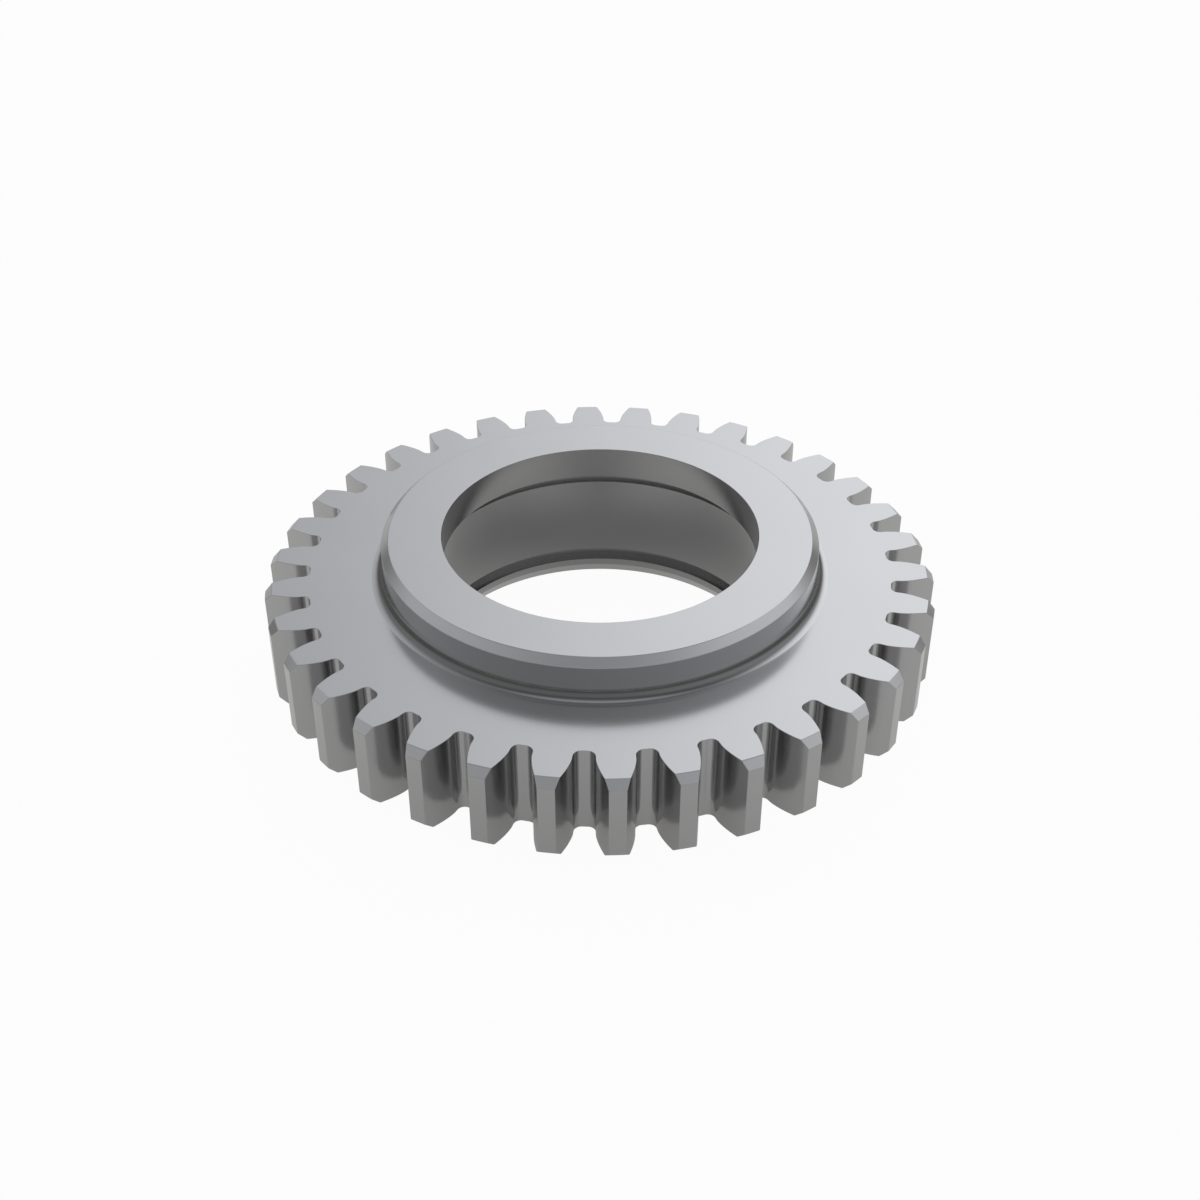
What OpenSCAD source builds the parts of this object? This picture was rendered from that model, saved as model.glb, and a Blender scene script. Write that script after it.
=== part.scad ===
// Spur idler gear, turned and toothed from one piece of steel.
// A toothed rim stands midway on a hub that holds one ball bearing between a shoulder and a snap ring.
// Millimetres. The origin is on the bore's axis in the hub's bottom face, with +Z up through the bore.
// The centre of one tooth lies on +X.

/* [Teeth] */
// Number of teeth
teeth = 34; // [24:1:60]
// Module: pitch diameter divided by the number of teeth
tooth_module = 2.5; // [2.2:0.05:4]
// Pressure angle at the pitch circle, degrees
pressure_angle = 18.5; // [16:0.5:22]
// Height of a tooth above the pitch circle, in modules
addendum = 1; // [0.8:0.05:1.1]
// Depth of a tooth below the pitch circle, in modules
dedendum = 1.35; // [1.2:0.05:1.5]
// Radius of the fillet at the foot of a flank, in modules
root_fillet = 0.38; // [0.2:0.01:0.42]
// Tooth thickness at the pitch circle beyond half the pitch
thickness_gain = 0.1; // [-0.2:0.05:0.3]
// Width of the toothed rim along the axis
face_width = 12; // [8:0.5:16]
// Turned bevel on both ends of every tooth tip, its size along the radius and the axis
tip_chamfer = 1; // [0.3:0.1:1.5]

/* [Hub] */
// Outer diameter of the hub
hub_d = 58.5; // [53:0.5:64]
// Turned bevel round the hub's outer rims
hub_chamfer = 1; // [0.3:0.1:1.5]
// Radius of the fillet between the hub and the rim's side faces
hub_fillet = 1.5; // [0.5:0.1:1.8]

/* [Bore] */
// Diameter of the bearing seat, which is the bearing's outer diameter
bearing_d = 47; // [44:0.5:48]
// Width of the bearing
bearing_width = 14; // [12:0.5:18]
// Diameter of the hole through the shoulder that stops the bearing
shoulder_d = 42.4; // [36:0.2:43]
// Thickness of the shoulder
shoulder_width = 4.5; // [2.5:0.1:6]
// Width of the relief groove that clears the bearing's corner under the shoulder
relief_width = 2.3; // [1:0.1:3]
// Depth of the relief groove in the seat's wall
relief_depth = 0.6; // [0.1:0.05:1]
// Room along the axis between the bearing and the snap ring
ring_clearance = 0.15; // [0.05:0.05:0.5]
// Width of the snap-ring groove
ring_groove_width = 1.85; // [1.3:0.05:3]
// Depth of the snap-ring groove in the seat's wall
ring_groove_depth = 1.25; // [0.5:0.05:1.5]
// Width of the lip below the snap-ring groove
lip_width = 1; // [0.5:0.1:3]
// Height of the lead-in bevel at the bore's mouth
lead_in = 1.5; // [0.5:0.1:2.5]
// Slope of the lead-in bevel from the bore's axis, degrees
lead_in_angle = 30; // [15:1:40]

/* [Hidden] */

round_steps = 180;
flank_steps = 8;
fillet_steps = 5;
root_steps = 2;
cut_margin = 1;
steel = "silver";

// Tooth radii
pitch_r = tooth_module * teeth / 2;
tip_r = pitch_r + addendum * tooth_module;
root_r = pitch_r - dedendum * tooth_module;
base_r = pitch_r * cos(pressure_angle);
fillet_r = root_fillet * tooth_module;
tooth_thickness = PI * tooth_module / 2 + thickness_gain;

// Hub and bore radii
hub_r = hub_d / 2;
shoulder_r = shoulder_d / 2;
bearing_r = bearing_d / 2;
relief_r = bearing_r + relief_depth;
ring_groove_r = bearing_r + ring_groove_depth;
mouth_r = bearing_r + lead_in * tan(lead_in_angle);

// Heights, from the bore's mouth up to the shoulder's top
ring_groove_z = lead_in + lip_width;
seat_z = ring_groove_z + ring_groove_width;
shoulder_z = seat_z + ring_clearance + bearing_width;
relief_z = shoulder_z - relief_width;
height = shoulder_z + shoulder_width;
rim_z = (height - face_width) / 2;
rim_top = rim_z + face_width;

// Degrees between the radius to a point of an involute and the radius to its start
function involute(angle) = tan(angle) * 180 / PI - angle;

// Half of the space between two teeth at radius r, in degrees
function half_space(r) =
    180 / teeth
    - tooth_thickness / pitch_r * 90 / PI
    - involute(pressure_angle)
    + involute(acos(min(1, base_r / r)));

function polar(r, angle) = [r * cos(angle), r * sin(angle)];

// The fillet's centre lies a fillet radius outside the root circle, and its arc ends on the flank
fillet_centre_r = root_r + fillet_r;
flank_foot_r = sqrt(pow(fillet_centre_r, 2) - pow(fillet_r, 2));
flank_start_r = max(base_r, flank_foot_r);
fillet_end = half_space(flank_start_r);
fillet_start = fillet_end - asin(fillet_r / fillet_centre_r);
fillet_turn = acos(fillet_r / fillet_centre_r);

// One flank of a tooth space from the root's middle to beyond the tip, on the side of positive angles
function root_points() =
    [for (i = [0 : root_steps - 1]) polar(root_r, fillet_start * i / root_steps)];

function fillet_points() =
    [for (i = [0 : fillet_steps])
        polar(fillet_centre_r, fillet_start)
        + polar(fillet_r, fillet_start + 180 - fillet_turn * i / fillet_steps)];

function flank_points() =
    let (reach = tip_r + cut_margin - flank_start_r)
    [for (i = [1 : flank_steps])
        let (r = flank_start_r + reach * i / flank_steps) polar(r, half_space(r))];

module tooth_space() {
    side = concat(root_points(), fillet_points(), flank_points());
    other_side = [for (i = [len(side) - 1 : -1 : 1]) [side[i].x, -side[i].y]];
    translate([0, 0, rim_z - cut_margin])
        linear_extrude(height = face_width + 2 * cut_margin)
            polygon(concat(side, other_side));
}

// Right half of the section through the axis, with square steps where the hub's fillets go
module section() {
    polygon([
        [shoulder_r, height],
        [hub_r - hub_chamfer, height],
        [hub_r, height - hub_chamfer],
        [hub_r, rim_top + hub_fillet],
        [hub_r + hub_fillet, rim_top + hub_fillet],
        [hub_r + hub_fillet, rim_top],
        [tip_r - tip_chamfer, rim_top],
        [tip_r, rim_top - tip_chamfer],
        [tip_r, rim_z + tip_chamfer],
        [tip_r - tip_chamfer, rim_z],
        [hub_r + hub_fillet, rim_z],
        [hub_r + hub_fillet, rim_z - hub_fillet],
        [hub_r, rim_z - hub_fillet],
        [hub_r, hub_chamfer],
        [hub_r - hub_chamfer, 0],
        [mouth_r, 0],
        [bearing_r, lead_in],
        [bearing_r, ring_groove_z],
        [ring_groove_r, ring_groove_z],
        [ring_groove_r, seat_z],
        [bearing_r, seat_z],
        [bearing_r, relief_z],
        [relief_r, relief_z],
        [relief_r, shoulder_z],
        [shoulder_r, shoulder_z]
    ]);
}

// The turned blank: each step's corner is hollowed by a circle that touches the hub and the rim
module blank() {
    rotate_extrude()
        difference() {
            section();
            for (z = [rim_top + hub_fillet, rim_z - hub_fillet])
                translate([hub_r + hub_fillet, z]) circle(hub_fillet);
        }
}

module idler_gear() {
    color(steel)
        difference() {
            blank($fn = round_steps);
            for (i = [0 : teeth - 1])
                rotate([0, 0, (i + 0.5) * 360 / teeth]) tooth_space();
        }
}

idler_gear();
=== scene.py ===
from math import acos, asin, atan2, cos, pi, radians, sin, sqrt, tan

import bmesh
import bpy
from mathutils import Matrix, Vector


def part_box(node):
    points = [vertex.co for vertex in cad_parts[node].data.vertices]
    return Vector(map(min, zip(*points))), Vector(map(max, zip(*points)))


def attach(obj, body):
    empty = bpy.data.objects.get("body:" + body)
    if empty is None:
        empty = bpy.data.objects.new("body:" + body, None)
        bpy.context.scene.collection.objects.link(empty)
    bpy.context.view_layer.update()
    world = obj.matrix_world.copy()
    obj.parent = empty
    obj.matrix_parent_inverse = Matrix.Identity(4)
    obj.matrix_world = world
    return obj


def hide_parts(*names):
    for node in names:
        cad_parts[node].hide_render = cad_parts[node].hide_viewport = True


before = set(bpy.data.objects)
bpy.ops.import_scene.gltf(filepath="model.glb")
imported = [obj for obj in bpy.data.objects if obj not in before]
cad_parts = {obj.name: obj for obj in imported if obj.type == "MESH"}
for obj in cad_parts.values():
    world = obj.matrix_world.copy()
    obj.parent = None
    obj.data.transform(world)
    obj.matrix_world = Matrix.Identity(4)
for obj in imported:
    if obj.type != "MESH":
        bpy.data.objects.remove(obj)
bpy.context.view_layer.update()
mm = 0.001
scene = bpy.context.scene
gearLow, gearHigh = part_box("idler_gear")
gearHeight = gearHigh.z - gearLow.z


# Shader helpers: a Wire is a socket that takes part in plain arithmetic

class Wire:
    def __init__(self, book, socket):
        self.book = book
        self.socket = socket

    def maths(self, operation, *others):
        values = [self] + list(others)
        node = self.book.add("ShaderNodeMath", {"operation": operation}, dict(enumerate(values)))
        return self.book.out(node)

    def __add__(self, other):
        return self.maths("ADD", other)

    def __sub__(self, other):
        return self.maths("SUBTRACT", other)

    def __mul__(self, other):
        return self.maths("MULTIPLY", other)

    def __truediv__(self, other):
        return self.maths("DIVIDE", other)

    def __rsub__(self, other):
        return self.book.value(other).maths("SUBTRACT", self)

    def __rtruediv__(self, other):
        return self.book.value(other).maths("DIVIDE", self)

    __radd__ = __add__
    __rmul__ = __mul__

    def smooth(self, low, high):
        inputs = {"Value": self, "From Min": low, "From Max": high}
        node = self.book.add("ShaderNodeMapRange", {"interpolation_type": "SMOOTHSTEP"}, inputs)
        return self.book.out(node, "Result")


# A node tree with one way to add a node: its type, its settings, then the values or wires of its inputs
class Book:
    def __init__(self, tree):
        self.tree = tree
        tree.nodes.clear()

    def add(self, kind, settings=None, inputs=None):
        node = self.tree.nodes.new(kind)
        for name, setting in (settings or {}).items():
            setattr(node, name, setting)
        for name, value in (inputs or {}).items():
            if isinstance(value, Wire):
                self.tree.links.new(value.socket, node.inputs[name])
            else:
                node.inputs[name].default_value = value
        return node

    def out(self, node, name=0):
        return Wire(self, node.outputs[name])

    def value(self, number):
        node = self.add("ShaderNodeValue")
        node.outputs[0].default_value = number
        return self.out(node)

    def dot(self, vector, direction):
        node = self.add("ShaderNodeVectorMath", {"operation": "DOT_PRODUCT"}, {0: vector, 1: direction})
        return self.out(node, "Value")

    # Colour sockets are chosen by place, because a name finds the mix node's value sockets first
    def mixColours(self, factor, first, second):
        node = self.add("ShaderNodeMix", {"data_type": "RGBA"}, {"Factor": factor, 6: first, 7: second})
        return self.out(node, 2)

    def noise(self, vector, scale, detail=2.0):
        inputs = {"Vector": vector, "Scale": scale, "Detail": detail}
        return self.out(self.add("ShaderNodeTexNoise", {"noise_dimensions": "3D"}, inputs))


# Helpers that make an object or a material with the name given

def addObject(name, data):
    made = bpy.data.objects.new(name, data)
    scene.collection.objects.link(made)
    return made


def addMesh(name, bm):
    mesh = bpy.data.meshes.new(name)
    bm.to_mesh(mesh)
    bm.free()
    return addObject(name, mesh)


def addMaterial(name):
    material = bpy.data.materials.new(name)
    material.use_nodes = True
    return material, Book(material.node_tree)


# Camera

cameraLook = {
    "lens": 50.0,              # mm
    "sensor": 36.0,            # mm
    "clip": (0.01, 100.0),     # nearest and farthest distance drawn, metres
    "angle": -45.0,            # degrees round the axis, from +X
    "elevation": 35.264,       # degrees above the floor
    "distance": 229.65 * mm,
    "targetHeight": 11.4 * mm,
}


def onSphere(angle, elevation):
    a = radians(angle)
    e = radians(elevation)
    return Vector((cos(e) * cos(a), cos(e) * sin(a), sin(e)))


def makeCamera(look):
    data = bpy.data.cameras.new("camera")
    data.lens = look["lens"]
    data.sensor_width = look["sensor"]
    data.clip_start, data.clip_end = look["clip"]
    camera = addObject("camera", data)
    away = onSphere(look["angle"], look["elevation"])
    camera.location = Vector((0, 0, look["targetHeight"])) + away * look["distance"]
    camera.rotation_euler = away.to_track_quat("Z", "Y").to_euler()
    scene.camera = camera


makeCamera(cameraLook)
print("camera placed")


# Light: a soft studio dome with a darker horizon, over a pale floor

plainWhite = (1.0, 1.0, 1.0, 1.0)

dome = {
    "level": 0.845,
    "backGain": 0.30,          # brighter away from the camera
    "rightGain": 0.15,
    "dark": 0.26,              # level where the dome meets the floor, and high up
    "lowRise": (0.04, 0.42),   # sines of the elevations between which the dome brightens
    "highFall": (0.64, 0.97),  # and darkens again
    "topRise": (0.91, 0.99),   # and, overhead, brightens once more
    "topGain": 0.42,
    "brightPatch": (26.0, 38.0, 0.42),    # degrees right of the back, elevation, gain
    "darkPatch": (-30.0, 38.0, -0.30),
    "patchSpread": (35.0, 8.0),           # degrees from a patch's middle to its edge and to its full level
    "lowColour": (1.0, 0.985, 0.96, 1.0),
    "highColour": (0.98, 0.995, 1.03, 1.0),
}

paleFloor = {
    "colour": (0.75, 0.74, 0.72, 1.0),
    "mirroredColour": (1.0, 0.985, 0.96, 1.0),
    "size": 4.0,               # metres
    "whiteStraight": 0.96,     # share of plain white where the camera sees the floor
    "whiteInMetal": 0.25,      # and where the metal mirrors it
    "paintedLightSideways": 0.22,     # painted light added to the left and right of the gear
    "sideStart": 1.0 * mm,     # radius at which that gain is a quarter of its full value
    "paintedShadeInBore": 0.19,        # painted shade, taken off in the middle of the bore
    "boreMiddle": (12.0 * mm, 24.0 * mm),   # radii between which that fades out
    "paintedLightUnderMouth": 0.15,   # and painted light added in a ring under the bevel of the bore's mouth
    # Radii where the ring starts, is full, begins to fade and ends
    "mouthRing": (21.8 * mm, 23.0 * mm, 25.0 * mm, 27.0 * mm),
}


def makeWorld(look):
    world = bpy.data.worlds.new("studio")
    world.use_nodes = True
    scene.world = world
    book = Book(world.node_tree)
    direction = book.out(book.add("ShaderNodeTexCoord"), "Generated")
    back = cameraLook["angle"] + 180.0
    up = book.dot(direction, Vector((0, 0, 1)))
    rise = up.smooth(*look["lowRise"])
    bright = rise * (1 - up.smooth(*look["highFall"]))
    strength = (look["level"] + book.dot(direction, onSphere(back, 0.0)) * look["backGain"]
                + book.dot(direction, onSphere(back - 90.0, 0.0)) * look["rightGain"])
    edge, full = [cos(radians(spread)) for spread in look["patchSpread"]]
    for right, elevation, gain in (look["brightPatch"], look["darkPatch"]):
        strength = strength + book.dot(direction, onSphere(back - right, elevation)).smooth(edge, full) * gain
    strength = look["dark"] + (strength - look["dark"]) * bright
    strength = strength + up.smooth(*look["topRise"]) * look["topGain"]
    # The camera sees plain white, and everything else sees the dome
    camera = book.out(book.add("ShaderNodeLightPath"), "Is Camera Ray")
    strength = strength * (1 - camera) + camera
    colour = book.mixColours(camera, book.mixColours(rise, look["lowColour"], look["highColour"]), plainWhite)
    shade = book.add("ShaderNodeBackground", {}, {"Color": colour, "Strength": strength})
    book.add("ShaderNodeOutputWorld", {}, {"Surface": book.out(shade)})


def makeFloor(look):
    bm = bmesh.new()
    bmesh.ops.create_grid(bm, x_segments=1, y_segments=1, size=look["size"] / 2)
    floor = addMesh("floor", bm)
    material, book = addMaterial("paleFloor")
    # The floor has a share of plain white for the camera and another for metal and glass
    path = book.add("ShaderNodeLightPath")
    camera = book.out(path, "Is Camera Ray")
    mirrored = book.out(path, "Is Glossy Ray").maths("MAXIMUM", book.out(path, "Is Transmission Ray"))
    place = book.out(book.add("ShaderNodeTexCoord"), "Object")
    radius = book.dot(place, place).maths("SQRT")
    right = onSphere(cameraLook["angle"] + 90.0, 0.0)
    side = book.dot(place, right) / (radius + look["sideStart"])
    start, full, last, end = look["mouthRing"]
    underMouth = radius.smooth(start, full) * (1 - radius.smooth(last, end))
    inBore = 1 - radius.smooth(*look["boreMiddle"])
    # The share that metal and glass see holds painted light beside the gear and under the bore's mouth, and
    # painted shade in the bore
    inMetal = (look["whiteInMetal"] + side * side * look["paintedLightSideways"]
               + underMouth * look["paintedLightUnderMouth"] - inBore * look["paintedShadeInBore"])
    white = camera * look["whiteStraight"] + mirrored * (1 - camera) * inMetal
    matt = book.out(book.add("ShaderNodeBsdfDiffuse", {}, {"Color": look["colour"]}))
    glow = book.mixColours(camera, look["mirroredColour"], plainWhite)
    plain = book.out(book.add("ShaderNodeEmission", {}, {"Color": glow, "Strength": 1.0}))
    both = book.out(book.add("ShaderNodeMixShader", {}, {0: white, 1: matt, 2: plain}))
    book.add("ShaderNodeOutputMaterial", {}, {"Surface": both})
    floor.data.materials.append(material)


makeWorld(dome)
makeFloor(paleFloor)
scene.view_settings.view_transform = "Standard"
print("studio built")


# The gear's sizes, the same as in the CAD, and then how finely it is made here

gear = {
    "teeth": 34,
    "module": 2.5 * mm,
    "pressureAngle": 18.5,     # degrees
    "addendum": 1.0,           # in modules
    "dedendum": 1.35,
    "rootFillet": 0.38,
    "thicknessGain": 0.1 * mm,
    "faceWidth": 12.0 * mm,
    "tipChamfer": 1.0 * mm,
    "hubRadius": 29.25 * mm,
    "hubChamfer": 1.0 * mm,
    "hubFillet": 1.5 * mm,
    "bearingRadius": 23.5 * mm,
    "shoulderRadius": 21.2 * mm,
    "shoulderWidth": 4.5 * mm,
    "reliefWidth": 2.3 * mm,
    "reliefDepth": 0.6 * mm,
    "seatWidth": 14.15 * mm,   # bearing and its clearance
    "grooveWidth": 1.85 * mm,
    "grooveDepth": 1.25 * mm,
    "lipWidth": 1.0 * mm,
    "leadIn": 1.5 * mm,
    "leadInAngle": 30.0,       # degrees
    "edgeBreak": 0.07 * mm,    # deburred edges
    "edgeSegments": 2,
    "sharpAngle": 20.0,        # degrees, the least turn of an edge that is kept crisp and deburred
    "arcSteps": 8,             # segments of a pitch along the round faces
    "flankSteps": 14,
    "filletSteps": 7,
    "rootSteps": 3,
    "flankEnd": 1.15,          # in tip bevels below the tip, so that the bevel meets no flank point
    "flatStrip": 0.1 * mm,     # narrow ring beside each hub fillet that keeps the flat faces' shading even
    "wallTilt": 0.3,           # height of the unit normal beyond which a face isn't a wall
    "samePlace": 1e-6,         # metres or radians that count as none
    "weldDistance": 0.002 * mm,
}


def polar(radius, angle, z=0.0):
    return Vector((radius * cos(angle), radius * sin(angle), z))


def involute(angle):
    return tan(angle) - angle


# Radii and angles of one tooth, worked out from the module
def toothFacts(g):
    alpha = radians(g["pressureAngle"])
    pitch = g["module"] * g["teeth"] / 2
    thickness = pi * g["module"] / 2 + g["thicknessGain"]
    tip = pitch + g["addendum"] * g["module"]
    root = pitch - g["dedendum"] * g["module"]
    fillet = g["rootFillet"] * g["module"]
    base = pitch * cos(alpha)

    def half(radius):
        return thickness / (2 * pitch) + involute(alpha) - involute(acos(min(1.0, base / radius)))

    centre = root + fillet
    foot = max(base, sqrt(centre ** 2 - fillet ** 2))
    return {"tip": tip, "root": root, "fillet": fillet, "half": half, "centre": centre, "foot": foot,
            "pitchAngle": 2 * pi / g["teeth"]}


# Outline of one tooth from the middle of one space to the middle of the next, the tooth on +X
def toothOutline(g, t, z):
    end = t["half"](t["foot"])
    turn = asin(t["fillet"] / t["centre"])
    start = end + turn
    middle = t["pitchAngle"] / 2
    steps = g["rootSteps"]
    side = [polar(t["root"], middle + (start - middle) * i / steps, z) for i in range(steps)]
    sweep = pi / 2 - turn
    for i in range(g["filletSteps"] + 1):
        aim = start + pi + sweep * i / g["filletSteps"]
        side.append(polar(t["centre"], start, z) + polar(t["fillet"], aim))
    last = t["tip"] - g["flankEnd"] * g["tipChamfer"]
    for i in range(1, g["flankSteps"] + 1):
        radius = t["foot"] + (last - t["foot"]) * i / g["flankSteps"]
        side.append(polar(radius, t["half"](radius), z))
    # The tip's arc is split into three
    top = t["half"](t["tip"])
    side += [polar(t["tip"], top, z), polar(t["tip"], top / 3, z)]
    other = [Vector((p.x, -p.y, p.z)) for p in reversed(side)]
    return side + other


# Heights from the floor up, as the section needs them
def heights(g):
    z = {"lip": g["leadIn"]}
    z["groove"] = z["lip"] + g["lipWidth"]
    z["seat"] = z["groove"] + g["grooveWidth"]
    z["shoulder"] = z["seat"] + g["seatWidth"]
    z["relief"] = z["shoulder"] - g["reliefWidth"]
    z["top"] = z["shoulder"] + g["shoulderWidth"]
    z["rimLow"] = (z["top"] - g["faceWidth"]) / 2
    z["rimTop"] = z["rimLow"] + g["faceWidth"]
    return z


# Half section of the hub and bore as one open line, from the rim's top face round to its bottom face
def hubSection(g, z):
    hub = g["hubRadius"]
    fillet = g["hubFillet"]
    bearing = g["bearingRadius"]
    strip = g["flatStrip"]
    angles = [pi / 2 * i / g["filletSteps"] for i in range(g["filletSteps"] + 1)]
    line = [(hub + fillet + strip, z["rimTop"])]
    line += [(hub + fillet - fillet * sin(a), z["rimTop"] + fillet - fillet * cos(a)) for a in angles]
    line += [(hub, z["rimTop"] + fillet + strip), (hub, z["top"] - g["hubChamfer"])]
    line += [(hub - g["hubChamfer"], z["top"])]
    line += [(g["shoulderRadius"], z["top"]), (g["shoulderRadius"], z["shoulder"])]
    line += [(bearing + g["reliefDepth"], z["shoulder"]), (bearing + g["reliefDepth"], z["relief"])]
    line += [(bearing, z["relief"]), (bearing, z["seat"])]
    line += [(bearing + g["grooveDepth"], z["seat"]), (bearing + g["grooveDepth"], z["groove"])]
    line += [(bearing, z["groove"]), (bearing, z["lip"])]
    mouth = bearing + g["leadIn"] * tan(radians(g["leadInAngle"]))
    line += [(mouth, 0.0), (hub - g["hubChamfer"], 0.0), (hub, g["hubChamfer"])]
    line += [(hub, z["rimLow"] - fillet - strip)]
    line += [(hub + fillet - fillet * cos(a), z["rimLow"] - fillet + fillet * sin(a)) for a in angles]
    line += [(hub + fillet + strip, z["rimLow"])]
    return line


# One pitch of the rim: the outline is extruded through the face width and its tip arcs are bevelled
def rimPitch(bm, g, t, z):
    inner = g["hubRadius"] + g["hubFillet"] + g["flatStrip"]
    half = t["pitchAngle"] / 2
    angles = [-half + t["pitchAngle"] * i / g["arcSteps"] for i in range(g["arcSteps"] + 1)]
    points = [polar(inner, angle, z["rimTop"]) for angle in angles] + toothOutline(g, t, z["rimTop"])
    face = bm.faces.new([bm.verts.new(p) for p in points])
    made = bmesh.ops.extrude_face_region(bm, geom=[face], use_keep_orig=True)
    low = [v for v in made["geom"] if isinstance(v, bmesh.types.BMVert)]
    bmesh.ops.translate(bm, verts=low, vec=(0, 0, -g["faceWidth"]))
    bm.normal_update()

    def isTip(edge):
        flat = abs(edge.verts[0].co.z - edge.verts[1].co.z) < g["samePlace"]
        return flat and all(abs(v.co.xy.length - t["tip"]) < g["samePlace"] for v in edge.verts)

    tips = [e for e in bm.edges if isTip(e)]
    bmesh.ops.bevel(bm, geom=tips, offset=g["tipChamfer"], offset_type="OFFSET", affect="EDGES",
                    segments=1, profile=0.5, material=-1)

    # The walls towards the hub and the neighbouring pitches are inside the metal
    def isInside(f):
        if abs(f.normal.z) > g["wallTilt"]:
            return False
        along = all(abs(abs(atan2(v.co.y, v.co.x)) - half) < g["samePlace"] for v in f.verts)
        return along or all(v.co.xy.length < inner + g["samePlace"] for v in f.verts)

    bmesh.ops.delete(bm, geom=[f for f in bm.faces if isInside(f)], context="FACES")


# A full turn round the gear's axis
def spinRound(bm, geom, steps, **options):
    bmesh.ops.spin(bm, geom=geom, cent=(0, 0, 0), axis=(0, 0, 1), dvec=(0, 0, 0), angle=2 * pi,
                   steps=steps, **options)


def buildGear(g):
    t = toothFacts(g)
    z = heights(g)
    bm = bmesh.new()
    rimPitch(bm, g, t, z)
    pitch = bm.verts[:] + bm.edges[:] + bm.faces[:]
    spinRound(bm, pitch, g["teeth"], use_duplicate=True, use_merge=False)
    start = -t["pitchAngle"] / 2
    verts = [bm.verts.new(polar(r, start, h)) for r, h in hubSection(g, z)]
    edges = [bm.edges.new(pair) for pair in zip(verts, verts[1:])]
    spinRound(bm, verts + edges, g["teeth"] * g["arcSteps"], use_merge=True)
    bmesh.ops.remove_doubles(bm, verts=bm.verts, dist=g["weldDistance"])
    bmesh.ops.recalc_face_normals(bm, faces=bm.faces)
    for f in bm.faces:
        f.smooth = True
    sharp = radians(g["sharpAngle"])
    for e in bm.edges:
        e.smooth = e.is_manifold and e.calc_face_angle() < sharp
    openEdges = [e for e in bm.edges if not e.is_manifold]
    print("gear mesh:", len(bm.verts), "vertices,", len(bm.faces), "faces,", len(openEdges), "open edges")
    piece = addMesh("gearBody", bm)
    bevel = piece.modifiers.new("edgeBreak", "BEVEL")
    bevel.width = g["edgeBreak"]
    bevel.segments = g["edgeSegments"]
    bevel.limit_method = "ANGLE"
    bevel.angle_limit = sharp
    bevel.harden_normals = True
    bevel.use_clamp_overlap = True
    return piece


gearBody = buildGear(gear)
print("gear built")


# Steel: satin, fine machined, with faint turning marks round the axis

steel = {
    "colour": (0.455, 0.456, 0.459, 1.0),
    "darkColour": (0.440, 0.441, 0.443, 1.0),
    "roughness": 0.2,
    "roughnessSpread": 0.02,
    "markPitch": 0.25 * mm,    # feed of the turning tool
    "markDepth": 0.0002 * mm,
    "cloudSize": 12.0 * mm,
    "cloudDetail": 3.0,
    "cloudSpan": (0.3, 0.7),   # noise values between which the cloud goes from none to full
    "cloudShare": 0.6,         # of the tone, and the marks have the rest
    "grooveShadeColour": (0.31, 0.31, 0.303, 1.0),    # painted shade in the bore's grooves
    "grooveStart": (0.02 * mm, 0.2 * mm),        # beyond the seat's wall: none, then full
    "grooveEnd": (2.0 * mm, 2.1 * mm),           # and full, then none, inside the metal
    "grooveFoot": 0.5 * mm,                      # height over the lead-in at which it is full
    "grooveTop": (3.0 * mm, 2.0 * mm),           # under the top face: full, then none
    "cornerShadeColour": (0.16, 0.16, 0.157, 1.0),    # and painted shade in the corner round the hub's foot
    "cornerStart": (0.05 * mm, 0.02 * mm),       # inside the hub's wall: none, then full
    "cornerRise": (0.0, 0.18),                   # height over the rim, in fillet radii: none, then full
    "cornerFall": (0.6, 1.0),                    # and full, then none
}


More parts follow.
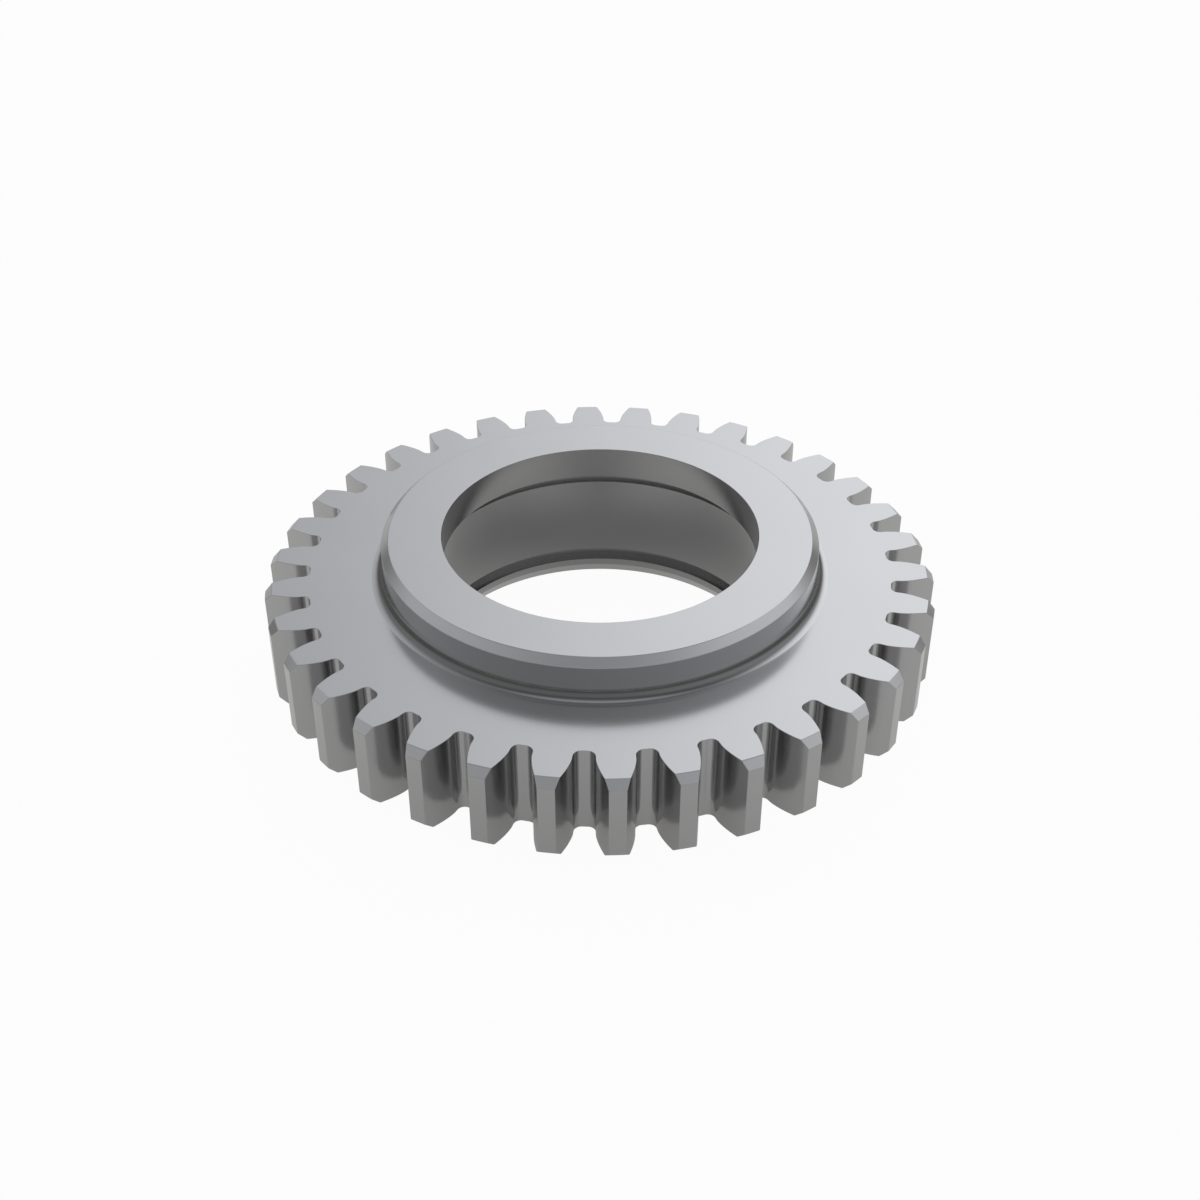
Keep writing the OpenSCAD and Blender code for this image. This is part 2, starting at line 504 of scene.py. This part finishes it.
def steelMaterial(look):
    material, book = addMaterial("satinSteel")
    place = book.out(book.add("ShaderNodeTexCoord"), "Object")
    parts = book.add("ShaderNodeSeparateXYZ", {}, {0: place})
    x, y, height = [book.out(parts, i) for i in range(3)]
    radius = (x * x + y * y).maths("SQRT")
    across = book.out(book.add("ShaderNodeCombineXYZ", {}, {0: radius, 1: height, 2: 0.0}))
    marks = book.noise(across, 1 / look["markPitch"])
    cloud = book.noise(place, 1 / look["cloudSize"], look["cloudDetail"]).smooth(*look["cloudSpan"])
    tone = cloud * look["cloudShare"] + marks * (1 - look["cloudShare"])
    colour = book.mixColours(tone, look["darkColour"], look["colour"])
    seat = gear["bearingRadius"]
    # Where the painted shade darkens the bore's relief groove and ring groove
    grooveShadeMask = (radius.smooth(*[seat + depth for depth in look["grooveStart"]])
                * (1 - radius.smooth(*[seat + depth for depth in look["grooveEnd"]]))
                * height.smooth(gear["leadIn"], gear["leadIn"] + look["grooveFoot"])
                * (1 - height.smooth(*[gearHeight - depth for depth in look["grooveTop"]])))
    colour = book.mixColours(grooveShadeMask, colour, look["grooveShadeColour"])
    # Painted shade on the fillets round the hub's foot, above and below the rim
    corner = gear["hubFillet"]
    overRim = (height - gearHeight / 2).maths("ABSOLUTE") - gear["faceWidth"] / 2
    cornerShadeMask = (radius.smooth(*[gear["hubRadius"] - depth for depth in look["cornerStart"]])
                * overRim.smooth(*[part * corner for part in look["cornerRise"]])
                * (1 - overRim.smooth(*[part * corner for part in look["cornerFall"]])))
    colour = book.mixColours(cornerShadeMask, colour, look["cornerShadeColour"])
    roughness = look["roughness"] + (tone - 0.5) * look["roughnessSpread"]
    bump = book.add("ShaderNodeBump", {}, {"Strength": 1.0, "Distance": look["markDepth"], "Height": marks})
    inputs = {"Base Color": colour, "Roughness": roughness, "Metallic": 1.0, "Normal": book.out(bump)}
    shade = book.out(book.add("ShaderNodeBsdfPrincipled", {}, inputs))
    book.add("ShaderNodeOutputMaterial", {}, {"Surface": shade})
    return material


gearBody.data.materials.append(steelMaterial(steel))
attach(gearBody, "root")
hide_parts("idler_gear")
print("steel applied")
